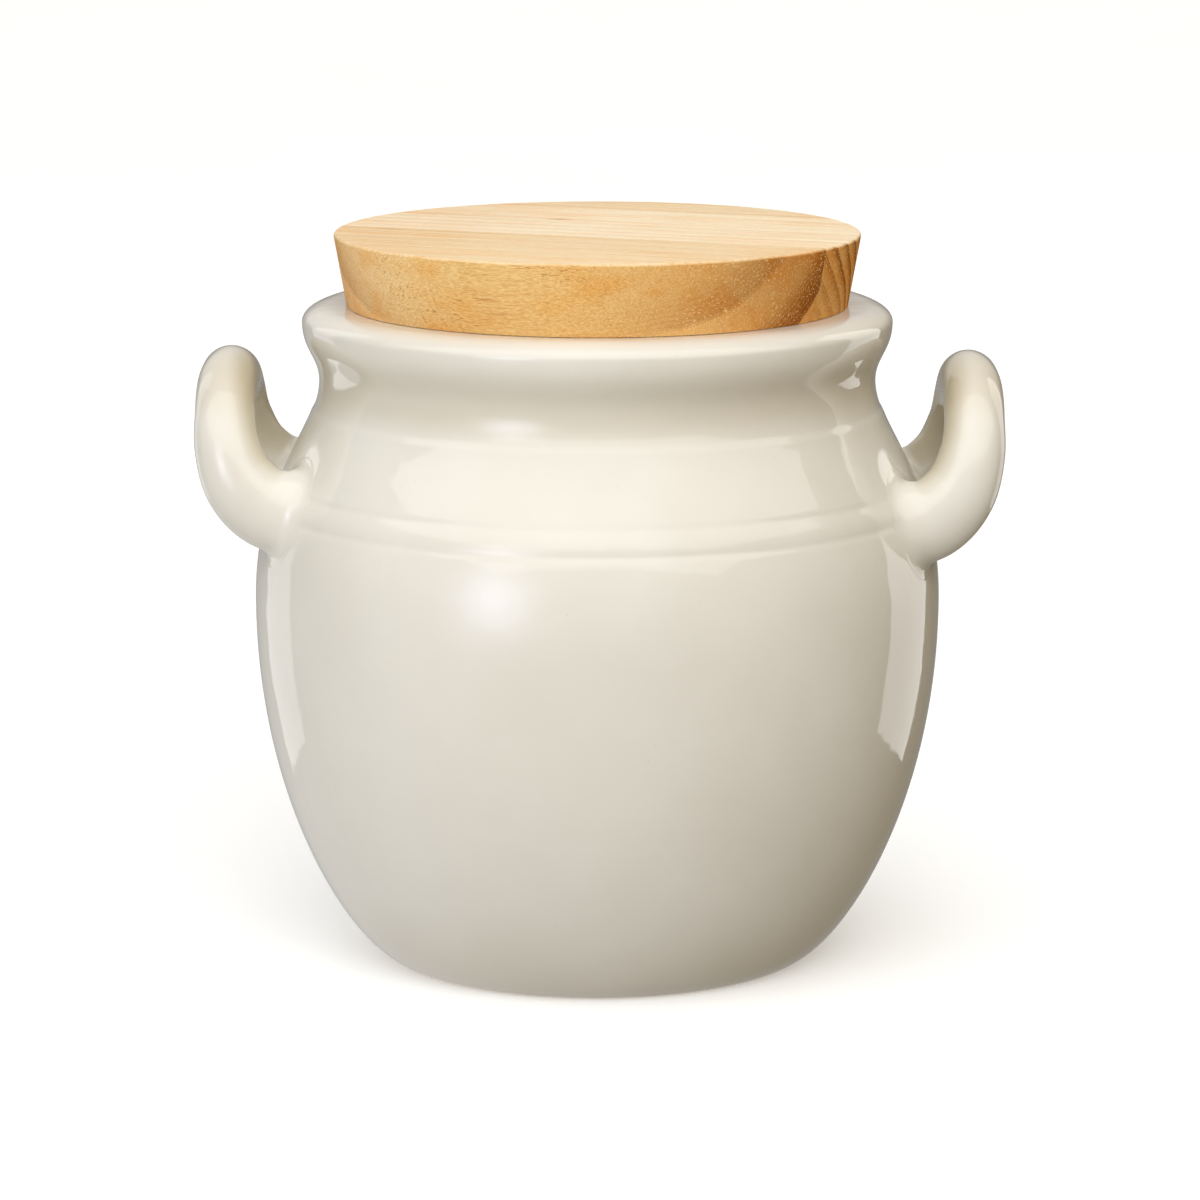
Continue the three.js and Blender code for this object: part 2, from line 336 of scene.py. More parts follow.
def inside_wall():
    """The jar's inside from the mouth's rounded edge down to the floor's centre."""
    mouth_centre = (SEAT_INNER, RIM_HEIGHT - MOUTH_ROUND)
    neck = (MOUTH_RADIUS, NECK_HEIGHT)
    neck_low = (MOUTH_RADIUS, NECK_HEIGHT - SHOULDER_HIGH_SHARE * SHOULDER_RISE)
    belly_high = (INNER_BELLY, BELLY_HEIGHT + INNER_SHOULDER_SHARE * SHOULDER_RISE)
    belly = (INNER_BELLY, BELLY_HEIGHT)
    belly_low = (INNER_BELLY, FLOOR_THICKNESS + BELLY_RISE_SHARE * (BELLY_HEIGHT - FLOOR_THICKNESS))
    foot_spread = (INNER_FOOT + INNER_FOOT_SHARE * (INNER_BELLY - INNER_FOOT), FLOOR_THICKNESS)
    foot = (INNER_FOOT, FLOOR_THICKNESS)
    return (
        ellipse_arc(mouth_centre, (MOUTH_ROUND, MOUTH_ROUND), 90, 180, MOUTH_STEPS)
        + bezier(neck, neck_low, belly_high, belly, INSIDE_STEPS)
        + bezier(belly, belly_low, foot_spread, foot, INSIDE_STEPS)[1:]
        + [(0, FLOOR_THICKNESS)]
    )


OUTSIDE = outside_wall()


def wall_radius(height):
    """Radius of the jar's outside at a height on the belly or shoulder."""
    for (low_r, low_z), (high_r, high_z) in zip(OUTSIDE, OUTSIDE[1:]):
        if low_z <= height <= high_z and high_z > low_z:
            return lerp(low_r, high_r, (height - low_z) / (high_z - low_z))
    raise ValueError("height is off the wall")


# Meshes

def new_piece(name, vertices, faces, material, sharp_degrees=SHARP_DEGREES):
    """A smooth-shaded mesh object from millimetre vertices."""
    mesh = bpy.data.meshes.new(name)
    mesh.from_pydata([Vector(v) * MM for v in vertices], [], faces)
    mesh.validate()
    mesh.materials.append(material)
    piece = bpy.data.objects.new(name, mesh)
    bpy.context.scene.collection.objects.link(piece)
    finish_mesh(mesh, sharp_degrees)
    return piece


def finish_mesh(mesh, sharp_degrees):
    """Face outwards, shade smooth and keep real edges sharp."""
    work = bmesh.new()
    work.from_mesh(mesh)
    bmesh.ops.recalc_face_normals(work, faces=work.faces[:])
    work.to_mesh(mesh)
    work.free()
    mesh.shade_smooth()
    mesh.set_sharp_from_angle(angle=math.radians(sharp_degrees))


def turned_mesh(outline, closed=False):
    """Vertices and faces of an outline turned about Z; points on the axis become poles."""
    vertices = []
    rings = []
    for radius, height in outline:
        if radius < AXIS_TOLERANCE:
            rings.append([len(vertices)] * TURN_SEGMENTS)
            vertices.append((0, 0, height))
            continue
        rings.append(list(range(len(vertices), len(vertices) + TURN_SEGMENTS)))
        for k in range(TURN_SEGMENTS):
            angle = 2 * math.pi * k / TURN_SEGMENTS
            vertices.append((radius * math.cos(angle), radius * math.sin(angle), height))
    pairs = list(zip(rings, rings[1:]))
    if closed:
        pairs.append((rings[-1], rings[0]))
    faces = []
    for low, high in pairs:
        for k in range(TURN_SEGMENTS):
            n = (k + 1) % TURN_SEGMENTS
            corners = []
            for index in (low[k], low[n], high[n], high[k]):
                if index not in corners:
                    corners.append(index)
            faces.append(corners)
    return vertices, faces


def jar_body(material):
    """The pot, with its foot ring, its outside and its inside in one outline."""
    recess_radius = FOOT_RADIUS - FOOT_RING_WIDTH
    underside = [(0, FOOT_RECESS), (recess_radius - FOOT_RECESS, FOOT_RECESS), (recess_radius, 0)]
    vertices, faces = turned_mesh(underside + OUTSIDE + inside_wall())
    return new_piece("stoneware_body", vertices, faces, material)


# Loop handles

def loop_points(loop):
    """Guide points of a loop on the +X side, from the front root over the crown to the back root."""
    spread = HANDLE_HALF_SPREAD
    root_height = loop["root_height"]
    standoff = loop["standoff"]
    root_x = math.sqrt(wall_radius(root_height) ** 2 - spread ** 2)
    crown = loop["top"] - HANDLE_THICKNESS / 2
    rise = crown - root_height
    half = [
        (root_x - ROOT_SINK, spread, root_height - 0.06 * rise),
        (root_x + 0.3 * standoff, spread, root_height + 0.03 * rise),
        (root_x + 0.75 * standoff, spread, root_height + 0.24 * rise),
        (root_x + 0.98 * standoff, 0.93 * spread, root_height + 0.54 * rise),
        (root_x + 1.03 * standoff, 0.73 * spread, root_height + 0.81 * rise),
        (root_x + 1.04 * standoff, 0.39 * spread, root_height + 0.96 * rise),
    ]
    front = [Vector((x, -y, z)) for x, y, z in half]
    back = [Vector((x, y, z)) for x, y, z in reversed(half)]
    return front + [Vector((root_x + 1.03 * standoff, 0, crown))] + back


def smooth_path(guides):
    """Centripetal curve through the guide points."""
    ends = [2 * guides[0] - guides[1]] + guides + [2 * guides[-1] - guides[-2]]
    points = []
    for before, start, end, after in zip(ends, ends[1:], ends[2:], ends[3:]):
        gap0 = math.sqrt((start - before).length)
        gap1 = math.sqrt((end - start).length)
        gap2 = math.sqrt((after - end).length)
        leave = (start - before) / gap0 - (end - before) / (gap0 + gap1) + (end - start) / gap1
        arrive = (end - start) / gap1 - (after - start) / (gap1 + gap2) + (after - end) / gap2
        leave = leave * gap1
        arrive = arrive * gap1
        for i in range(PATH_STEPS):
            t = i / PATH_STEPS
            points.append(
                start
                + leave * t
                + (3 * (end - start) - 2 * leave - arrive) * t ** 2
                + (2 * (start - end) + leave + arrive) * t ** 3
            )
    points.append(guides[-1])
    return points


def even_points(points, count):
    """The polyline resampled at equal steps of its length."""
    lengths = [0.0]
    for a, b in zip(points, points[1:]):
        lengths.append(lengths[-1] + (b - a).length)
    result = []
    span = 0
    for i in range(count):
        target = lengths[-1] * i / (count - 1)
        while span < len(points) - 2 and lengths[span + 1] < target:
            span += 1
        t = (target - lengths[span]) / (lengths[span + 1] - lengths[span])
        result.append(points[span].lerp(points[span + 1], t))
    return result


def loop_generators(loop):
    """Lines that run along the swept oval section, one for each point around it."""
    centres = even_points(smooth_path(loop_points(loop)), LOOP_STATIONS)
    last = LOOP_STATIONS - 1
    lines = [[] for _ in range(LOOP_AROUND)]
    for i, centre in enumerate(centres):
        tangent = (centres[min(i + 1, last)] - centres[max(i - 1, 0)]).normalized()
        towards_root = abs(2 * i / last - 1)
        outward = Vector((1, 0, -(towards_root ** 2)))
        normal = (outward - tangent * outward.dot(tangent)).normalized()
        side = tangent.cross(normal)
        flare = smoothstep(towards_root, FLARE_START, FLARE_END)
        thickness = lerp(HANDLE_THICKNESS, ROOT_THICKNESS, flare)
        breadth = lerp(HANDLE_BREADTH, ROOT_BREADTH, flare)
        for j, line in enumerate(lines):
            angle = 2 * math.pi * j / LOOP_AROUND
            offset = normal * (thickness / 2 * math.cos(angle)) + side * (breadth / 2 * math.sin(angle))
            line.append(centre + offset)
    return lines


def depth_in_wall(point):
    """How far a point lies under the jar's outside, in the radial direction."""
    return wall_radius(point.z) - math.hypot(point.x, point.y)


def on_wall(point, sink=0.0):
    """The point moved radially onto the jar's outside, or under it."""
    spoke = Vector((point.x, point.y, 0)).normalized()
    placed = spoke * (wall_radius(point.z) - sink)
    return Vector((placed.x, placed.y, point.z))


def meet_wall(line):
    """Where a line that starts inside the wall comes out of it, after the index of the next point."""
    for i, (a, b) in enumerate(zip(line, line[1:])):
        depth_a = depth_in_wall(a)
        depth_b = depth_in_wall(b)
        if depth_a >= 0 > depth_b:
            return i + 1, a.lerp(b, depth_a / (depth_a - depth_b))
    raise ValueError("the loop misses the wall")


def along(line, first, start, distance):
    """The place a distance further along the line, after the index of the next point."""
    here = start
    for i in range(first, len(line)):
        step = (line[i] - here).length
        if step >= distance:
            return i, here.lerp(line[i], distance / step)
        distance -= step
        here = line[i]
    raise ValueError("the loop is too short for its fillet")


def root_fillet(line, middle):
    """Points of one line from under the wall, round the fillet, onto the loop."""
    first, hit = meet_wall(line)
    after, take_off = along(line, first, hit, FILLET)
    away = (hit - middle).normalized()
    landing = on_wall(hit + away * FILLET)
    sunk = on_wall(hit + away * FILLET * FILLET_OVERREACH, sink=FILLET_SINK)
    curve = [sunk]
    for i in range(FILLET_STEPS + 1):
        t = i / FILLET_STEPS
        curve.append(landing.lerp(hit, t).lerp(hit.lerp(take_off, t), t))
    return curve, after


def root_middle(lines):
    """Middle of the oval where the loop meets the wall."""
    hits = [meet_wall(line)[1] for line in lines]
    return sum(hits, Vector()) / len(hits)


def loop_columns(loop):
    """Lines along a loop, each from the front fillet over the crown to the back fillet."""
    lines = loop_generators(loop)
    reverse = [line[::-1] for line in lines]
    front_middle = root_middle(lines)
    back_middle = root_middle(reverse)
    columns = []
    for line, backwards in zip(lines, reverse):
        front, front_after = root_fillet(line, front_middle)
        back, back_after = root_fillet(backwards, back_middle)
        between = [front[-1]] + line[front_after:LOOP_STATIONS - back_after] + [back[-1]]
        columns.append(front[:-1] + even_points(between, LOOP_RINGS) + back[-2::-1])
    return columns


def capped_tube(columns):
    """Vertices and faces of a tube with the columns as its sides, closed at both ends."""
    around = len(columns)
    rings = len(columns[0])
    vertices = [columns[j][i] for i in range(rings) for j in range(around)]
    faces = []
    for i in range(rings - 1):
        for j in range(around):
            n = (j + 1) % around
            faces.append((i * around + j, i * around + n, (i + 1) * around + n, (i + 1) * around + j))
    last = (rings - 1) * around
    faces.append(tuple(range(around)))
    faces.append(tuple(range(last, last + around)))
    return vertices, faces


def handle_piece(name, loop, turn, material):
    """A loop with fillets at its roots, turned to its side of the jar."""
    vertices, faces = capped_tube(loop_columns(loop))
    spin = Matrix.Rotation(turn, 3, "Z")
    return new_piece(name, [spin @ vertex for vertex in vertices], faces, material, LOOP_SHARP_DEGREES)


# Lid and ring

def lid_outline():
    """The whole lid's outline, from the middle of the plug's underside to the middle of the top."""
    edge = (LID_EDGE_ROUND, LID_EDGE_ROUND)
    low_round = (LID_LOW_ROUND, LID_LOW_ROUND)
    groove_low = SEAL_MIDDLE - SEAL_HEIGHT / 2 - FIT_GAP
    groove_high = SEAL_MIDDLE + SEAL_HEIGHT / 2 + FIT_GAP
    plug_centre = (PLUG_RADIUS - LID_EDGE_ROUND, PLUG_BOTTOM + LID_EDGE_ROUND)
    low_centre = (LID_BOTTOM_RADIUS - LID_LOW_ROUND, LID_UNDERSIDE + LID_LOW_ROUND)
    top_centre = (LID_TOP_RADIUS - LID_EDGE_ROUND, LID_TOP - LID_EDGE_ROUND)
    return (
        [(0, PLUG_BOTTOM)]
        + ellipse_arc(plug_centre, edge, -90, 0, PLUG_EDGE_STEPS)
        + [
            (PLUG_RADIUS, groove_low),
            (GROOVE_RADIUS, groove_low),
            (GROOVE_RADIUS, groove_high),
            (PLUG_RADIUS, groove_high),
            (PLUG_RADIUS, LID_UNDERSIDE),
        ]
        + ellipse_arc(low_centre, low_round, -90, 0, LOW_EDGE_STEPS)
        + ellipse_arc(top_centre, edge, 0, 90, TOP_EDGE_STEPS)
        + [(0, LID_TOP)]
    )


def cut(mesh, offset, keep_side):
    """Cut the lid along a glue plane across the grain and close the cut."""
    across = Vector((-math.sin(GRAIN_ANGLE), math.cos(GRAIN_ANGLE), 0))
    work = bmesh.new()
    work.from_mesh(mesh)
    everything = work.verts[:] + work.edges[:] + work.faces[:]
    sliced = bmesh.ops.bisect_plane(
        work,
        geom=everything,
        dist=CUT_TOLERANCE,
        plane_co=across * offset * MM,
        plane_no=across,
        clear_inner=keep_side > 0,
        clear_outer=keep_side < 0,
    )
    rim = [item for item in sliced["geom_cut"] if isinstance(item, bmesh.types.BMEdge)]
    bmesh.ops.contextual_create(work, geom=rim)
    work.to_mesh(mesh)
    work.free()


def lid_stave(name, low, high, material):
    """The part of the lid between two glue planes; None leaves that side whole."""
    vertices, faces = turned_mesh(lid_outline())
    piece = new_piece(name, vertices, faces, material)
    if low is not None:
        cut(piece.data, low + GLUE_LINE / 2, 1)
    if high is not None:
        cut(piece.data, high - GLUE_LINE / 2, -1)
    finish_mesh(piece.data, LID_SHARP_DEGREES)
    return piece


def seal_ring(material):
    """Soft ring in the plug's groove, flat inside and bulging outside."""
    inner = GROOVE_RADIUS + FIT_GAP
    outer = MOUTH_RADIUS - FIT_GAP
    bulge = (outer - inner) / 2
    outline = [(inner, SEAL_MIDDLE - SEAL_HEIGHT / 2)]
    outline += ellipse_arc((outer - bulge, SEAL_MIDDLE), (bulge, SEAL_HEIGHT / 2), -90, 90, SEAL_STEPS)
    outline += [(inner, SEAL_MIDDLE + SEAL_HEIGHT / 2)]
    vertices, faces = turned_mesh(outline, closed=True)
    return new_piece("soft_seal", vertices, faces, material)


# Node trees

class Nodes:
    """A node tree with short calls for adding and linking nodes."""

    def __init__(self, tree):
        self.tree = tree

    def add(self, kind, inputs=None, **settings):
        node = self.tree.nodes.new("ShaderNode" + kind)
        for key, value in settings.items():
            setattr(node, key, value)
        for key, value in (inputs or {}).items():
            self.put(node.inputs[key], value)
        return node

    def put(self, socket, value):
        """Link the socket to another one, or set its constant."""
        if isinstance(value, bpy.types.NodeSocket):
            self.tree.links.new(value, socket)
        else:
            socket.default_value = value

    def math(self, operation, first, second=0.5):
        node = self.add("Math", {0: first, 1: second}, operation=operation)
        return node.outputs[0]

    def mix(self, blend_type, factor, first, second):
        node = self.add("Mix", data_type="RGBA", blend_type=blend_type)
        for index, value in ((0, factor), (6, first), (7, second)):
            self.put(node.inputs[index], value)
        return node.outputs[2]

    def blend(self, factor, first, second):
        """The first colour turning into the second as the factor goes from 0 to 1."""
        return self.mix("MIX", factor, first, second)

    def tint(self, factor, colour, tint):
        """The colour multiplied by a tint, as far as the factor says."""
        return self.mix("MULTIPLY", factor, colour, tint)

    def fade(self, value, low, high, start, end):
        """A smooth change from start to end as the value goes from low to high."""
        limits = {0: value, 1: low, 2: high, 3: start, 4: end}
        return self.add("MapRange", limits, interpolation_type="SMOOTHSTEP").outputs[0]


class Shader(Nodes):
    """The nodes of a surface material."""

    def __init__(self, name):
        self.material = bpy.data.materials.new(name)
        self.material.use_nodes = True
        super().__init__(self.material.node_tree)
        self.surface = self.tree.nodes["Principled BSDF"]

    def set(self, name, value):
        """Link or set one of the surface's own sockets."""
        self.put(self.surface.inputs[name], value)

    def ramp(self, factor, stops):
        """Colours at places from 0 to 1."""
        node = self.add("ValToRGB", {0: factor})
        stop_list = node.color_ramp.elements
        while len(stop_list) < len(stops):
            stop_list.new(0.5)
        for stop, (place, colour) in zip(stop_list, stops):
            stop.position = place
            stop.color = colour
        return node.outputs[0]

    def noise(self, vector, scale, detail=2.0, roughness=0.5):
        inputs = {"Vector": vector, "Scale": scale, "Detail": detail, "Roughness": roughness}
        return self.add("TexNoise", inputs).outputs[0]

    def place(self, turn=0.0, scale=(MM_PER_METRE, MM_PER_METRE, MM_PER_METRE)):
        """Object coordinates, in millimetres unless scaled otherwise, turned about Z first."""
        coords = self.add("TexCoord").outputs["Object"]
        turned = self.add("Mapping", {"Vector": coords, "Rotation": (0, 0, turn)})
        return self.add("Mapping", {"Vector": turned.outputs[0], "Scale": scale}).outputs[0]

    def bump(self, height, strength, distance):
        node = self.add("Bump", {"Height": height, "Strength": strength, "Distance": distance})
        self.set("Normal", node.outputs[0])


def grey(value):
    return (value, value, value, 1)


# Glaze

def loop_inside_shade(shader, place):
    """1 on the loops' faces that look back at the jar, for painted shade there, and 0 elsewhere."""
    flat = shader.add("VectorMath", {0: place, 1: (1, 1, 0)}, operation="MULTIPLY")
    from_axis = flat.outputs["Vector"]
    outward = shader.add("VectorMath", {0: from_axis}, operation="NORMALIZE").outputs["Vector"]
    facing = shader.add("NewGeometry").outputs["Normal"]
    facing_out = shader.add("VectorMath", {0: facing, 1: outward}, operation="DOT_PRODUCT")
    looks_back = shader.fade(facing_out.outputs["Value"], -0.8, 0.1, 1.0, 0.0)
    radius = shader.add("VectorMath", {0: from_axis}, operation="LENGTH").outputs["Value"]
    outside_the_pot = shader.fade(radius, INNER_BELLY + 0.5, INNER_BELLY + 3, 0.0, 1.0)
    return shader.math("MULTIPLY", looks_back, outside_the_pot)


def neck_and_foot_shade(shader, height):
    """1 for painted shade in the hollow of the neck under the lip, less towards the foot, and 0 elsewhere.
    """
    hollow = shader.math(
        "MULTIPLY",
        shader.fade(height, NECK_HEIGHT - 6, NECK_HEIGHT, 0.0, 1.0),
        shader.fade(height, NECK_HEIGHT + 4, LIP_HEIGHT, 1.0, 0.0),
    )
    return shader.math("MAXIMUM", hollow, shader.fade(height, 2, 22, 0.7, 0.0))


def glaze_material():
    """Warm cream glaze, clouded, faintly speckled and glossy, with painted shade in the neck's hollow,
    towards the foot and on the loops' insides, and with a bare foot.
    """
    shader = Shader("cream_glaze")
    place = shader.place()
    height = shader.add("SeparateXYZ", {0: place}).outputs[2]
    clouds = shader.noise(place, scale=0.035, detail=3.0)
    fine = shader.noise(place, scale=0.35, detail=4.0, roughness=0.6)
    cream = shader.ramp(clouds, [(0.3, DEEP_CREAM), (0.7, PALE_CREAM)])
    cream = shader.blend(shader.math("MULTIPLY", fine, 0.22), cream, FLECK)
    # Painted shade in the neck's hollow under the lip and towards the foot
    cream = shader.tint(neck_and_foot_shade(shader, height), cream, NECK_AND_FOOT_SHADE_TINT)
    # Painted shade on the loops' faces that look back at the jar
    cream = shader.tint(loop_inside_shade(shader, place), cream, LOOP_INSIDE_SHADE_TINT)
    specks = shader.add("TexVoronoi", {"Vector": place, "Scale": 0.22}).outputs["Distance"]
    specks = shader.ramp(specks, [(0.0, grey(0.5)), (0.045, grey(0.0))])
    cream = shader.blend(specks, cream, SPECK)
    ragged = shader.math("ADD", height, shader.math("MULTIPLY", fine, 1.2))
    bare = shader.ramp(ragged, [(0.0, grey(1)), (0.9, grey(1)), (1.0, grey(0))])
    shader.set("Base Color", shader.blend(bare, cream, BARE_CLAY))
    gloss = shader.ramp(fine, [(0.3, grey(0.035)), (0.7, grey(0.075))])
    shader.set("Roughness", shader.blend(bare, gloss, grey(0.8)))
    shader.set("IOR", 1.52)
    shader.bump(shader.noise(place, scale=0.09), strength=0.25, distance=0.0006)
    return shader.material


# Wood

def grain_noise(shader, stretch, scale, detail=2.0, roughness=0.5):
    """Noise drawn out along the grain."""
    place = shader.place(turn=-GRAIN_ANGLE, scale=(MM_PER_METRE / stretch, MM_PER_METRE, MM_PER_METRE))
    return shader.noise(place, scale, detail, roughness)


def grain_shares(shader):
    """How far a face looks along the grain, from 0 on face grain to 1 on end grain, and how far up."""
    facing = shader.add("NewGeometry").outputs["Normal"]
    grain = (math.cos(GRAIN_ANGLE), math.sin(GRAIN_ANGLE), 0)
    along_grain = shader.add("VectorMath", {0: facing, 1: grain}, operation="DOT_PRODUCT")
    end = shader.math("POWER", shader.math("ABSOLUTE", along_grain.outputs["Value"]), 2.6)
    up = shader.add("SeparateXYZ", {0: facing}).outputs[2]
    return end, shader.math("MAXIMUM", up, 0.0)


def grain_axes(shader):
    """Place along the grain, across it and up, in millimetres."""
    return shader.add("SeparateXYZ", {0: shader.place(turn=-GRAIN_ANGLE)}).outputs


def flat_length(shader, first, second):
    """Length of a line, from its two parts at right angles."""
    first_squared = shader.math("MULTIPLY", first, first)
    second_squared = shader.math("MULTIPLY", second, second)
    return shader.math("SQRT", shader.math("ADD", first_squared, second_squared))


def ring_radius(shader, stave):
    """Distance from the stave's pith, a little wandering."""
    wander = shader.math("MULTIPLY", grain_noise(shader, stretch=12, scale=0.06), RING_WANDER)
    axes = grain_axes(shader)
    across = shader.math("SUBTRACT", axes[1], stave["pith"][0])
    up = shader.math("SUBTRACT", axes[2], stave["pith"][1])
    radius = flat_length(shader, across, up)
    return shader.math("ADD", shader.math("SUBTRACT", radius, RING_WANDER / 2), wander)


def ring_strength(shader, stave, radius, end, up):
    """How plainly the rings show: most on end grain and in the stave's strong zone."""
    start, finish = stave["strong"]
    strong = shader.math(
        "MULTIPLY",
        shader.fade(radius, start - 3, start + 3, FAINT_RINGS, 1.0),
        shader.fade(radius, finish, finish + 12, 1.0, FAINT_RINGS),
    )
    strong = shader.math("MULTIPLY", strong, shader.fade(end, 0.0, 0.5, 0.3, 1.0))
    return shader.math("MULTIPLY", strong, shader.fade(up, 0.0, 1.0, 1.0, FAINT_RINGS))


def growth_rings(shader, stave, colour, end, up):
    """Darken each ring towards its late wood, and draw fine lines in the late wood."""
    radius = ring_radius(shader, stave)
    strong = ring_strength(shader, stave, radius, end, up)
    from_first = shader.math("SUBTRACT", radius, stave["first"])
    ring = shader.math("FRACT", shader.math("DIVIDE", from_first, stave["ring"]))
    tint = shader.ramp(ring, [
        (0.0, RING_START_TINT),
        (0.45, EARLY_WOOD_TINT),
        (0.72, LATE_WOOD_TINT),
        (0.95, RING_END_TINT),
        (1.0, RING_START_TINT),
    ])
    colour = shader.tint(strong, colour, tint)
    line = shader.math("FRACT", shader.math("DIVIDE", radius, LATE_WOOD_LINE))
    line = shader.fade(line, 0.35, 0.95, 0.0, 0.8)
    line = shader.math("MULTIPLY", line, shader.fade(ring, 0.4, 0.7, 0.0, 1.0))
    return shader.tint(shader.math("MULTIPLY", line, strong), colour, LATE_LINE_TINT)


def knot_shade(shader, knot):
    """A small eye drawn out along the grain, strongest at its middle."""
    knot_along, knot_across, strength = knot
    axes = grain_axes(shader)
    u = shader.math("DIVIDE", shader.math("SUBTRACT", axes[0], knot_along), KNOT_HALF_LENGTH)
    v = shader.math("DIVIDE", shader.math("SUBTRACT", axes[1], knot_across), KNOT_HALF_WIDTH)
    return shader.ramp(flat_length(shader, u, v), [
        (0.0, grey(strength)),
        (0.35, grey(0.6 * strength)),
        (1.0, grey(0)),
    ])


def plain_wood(shader, stave, end, up):
    """Face grain, end grain and the sanded top, paler partly as painted sheen, with painted sheen paling the
    wood towards the grain's left end.
    """
    colour = shader.blend(end, FACE_GRAIN, stave["end"])
    # Painted sheen towards the grain's left end
    left_sheen = shader.fade(grain_axes(shader)[0], LEFT_SHEEN_FROM, LEFT_SHEEN_TO, 1.0, 0.0)
    colour = shader.tint(left_sheen, colour, LEFT_SHEEN_TINT)
    # The sanded top's paler colour is partly painted sheen
    colour = shader.blend(up, colour, stave["top"])
    return shader.tint(shader.math("MULTIPLY", left_sheen, up), colour, SANDED_LEFT_SHEEN_TINT)


def streaked_wood(shader, colour, up, rough_share):
    """Add soft blotches, long streaks and, on the sanded top, fine lines along the grain."""
    blotches = shader.fade(grain_noise(shader, stretch=2.5, scale=0.13), 0.42, 0.72, 0.0, 1.0)
    colour = shader.tint(shader.math("MULTIPLY", blotches, rough_share), colour, BLOTCH_TINT)
    streaks = grain_noise(shader, stretch=70, scale=0.6, detail=4.0, roughness=0.6)
    colour = shader.tint(shader.fade(streaks, 0.48, 0.75, 0.0, 0.6), colour, STREAK_TINT)
    lines = grain_noise(shader, stretch=140, scale=1.2)
    dark_lines = shader.math("MULTIPLY", shader.fade(lines, 0.54, 0.62, 0.0, 0.8), up)
    colour = shader.tint(dark_lines, colour, DARK_LINE_TINT)
    pale_lines = shader.math("MULTIPLY", shader.fade(lines, 0.38, 0.46, 0.8, 0.0), up)
    return shader.tint(pale_lines, colour, PALE_LINE_TINT)


def fibred_wood(shader, colour, fibres, rough_share):
    """Add short pale and dark fibres, weaker on the sanded top."""
    pale = shader.math("MULTIPLY", shader.fade(fibres, 0.46, 0.64, 0.0, 1.0), rough_share)
    colour = shader.tint(pale, colour, PALE_FIBRE_TINT)
    dark = shader.math("MULTIPLY", shader.fade(fibres, 0.38, 0.5, 0.7, 0.0), rough_share)
    return shader.tint(dark, colour, DARK_FIBRE_TINT)


def wood_pores(shader, end, up):
    """Short pores, in clusters on face grain, all over end grain and faint on the sanded top."""
    pores = shader.fade(grain_noise(shader, stretch=18, scale=3.0, detail=1.0), 0.59, 0.69, 0.0, 0.85)
    clusters = shader.fade(grain_noise(shader, stretch=2, scale=0.09), 0.38, 0.62, 0.25, 1.0)
    pores = shader.math("MULTIPLY", pores, shader.math("MAXIMUM", clusters, end))
    return shader.math("MULTIPLY", pores, shader.fade(up, 0.0, 1.0, 1.0, 0.15))


def wood_material(name, stave):
    """Pale honey hardwood: growth rings, long streaks, short pores and dark, speckled end grain."""
    shader = Shader(name)
    end, up = grain_shares(shader)
    rough_share = shader.fade(up, 0.0, 1.0, 1.0, 0.5)
    fibres = grain_noise(shader, stretch=6, scale=4.2, roughness=0.7)
    pores = wood_pores(shader, end, up)
    colour = plain_wood(shader, stave, end, up)
    colour = growth_rings(shader, stave, colour, end, up)
    colour = streaked_wood(shader, colour, up, rough_share)
    colour = fibred_wood(shader, colour, fibres, rough_share)
    pore_colour = shader.blend(shader.fade(end, 0.1, 0.4, 0.0, 1.0), DARK_PORE, PALE_PORE)
    colour = shader.blend(pores, colour, pore_colour)
    for knot in stave["knots"]:
        colour = shader.tint(knot_shade(shader, knot), colour, KNOT_TINT)
    shader.set("Base Color", colour)
    shader.set("Roughness", shader.fade(fibres, 0.2, 0.8, 0.5, 0.7))
    shader.set("IOR", 1.45)
    shader.set("Specular IOR Level", shader.fade(end, 0.3, 0.9, 0.12, 0.0))
    shader.bump(shader.math("SUBTRACT", fibres, pores), strength=0.3, distance=0.0002)
    return shader.material


# Silicone and floor

def silicone_material():
    """Milky, softly clouded silicone."""
    shader = Shader("clear_silicone")
    place = shader.place()
    bloom = shader.noise(place, scale=0.12, detail=3.0)
    milky = [(0.3, (0.72, 0.73, 0.71, 1)), (0.7, (0.80, 0.81, 0.79, 1))]
    shader.set("Base Color", shader.ramp(bloom, milky))
    shader.set("Roughness", shader.ramp(bloom, [(0.3, grey(0.38)), (0.7, grey(0.5))]))
    shader.bump(shader.noise(place, scale=1.5), strength=0.2, distance=0.0001)
    return shader.material


def floor_material():
    """Pale, matt studio floor that glows a little, so that it stays white."""
    shader = Shader("pale_floor")
    tone = shader.noise(shader.place(scale=(3, 3, 3)), scale=1.0)
    shader.set("Base Color", shader.ramp(tone, [(0.3, grey(0.90)), (0.7, grey(0.92))]))
    shader.set("Roughness", 0.9)
    shader.set("Specular IOR Level", 0.0)
    shader.set("Emission Color", grey(1))
    shader.set("Emission Strength", 0.25)
    return shader.material


# Camera, floor and lights

def add_camera():
    """The camera that fits the photo."""
    data = bpy.data.cameras.new("photo_camera")
    data.lens = CAMERA_LENS
    data.sensor_width = SENSOR_WIDTH
    data.sensor_fit = "HORIZONTAL"
    camera = bpy.data.objects.new("photo_camera", data)
    camera.location = CAMERA_PLACE
    camera.rotation_euler = (math.radians(90 - CAMERA_PITCH), 0, 0)
    bpy.context.scene.collection.objects.link(camera)
    bpy.context.scene.camera = camera


def add_floor():
    """A wide floor that catches the jar's shadow and throws no light on it."""
    reach = FLOOR_REACH
    corners = [(-reach, -reach, 0), (reach, -reach, 0), (reach, reach, 0), (-reach, reach, 0)]
    floor = new_piece("studio_floor", corners, [(0, 1, 2, 3)], floor_material())
    floor.visible_diffuse = False
    floor.visible_glossy = False
    floor.visible_shadow = False


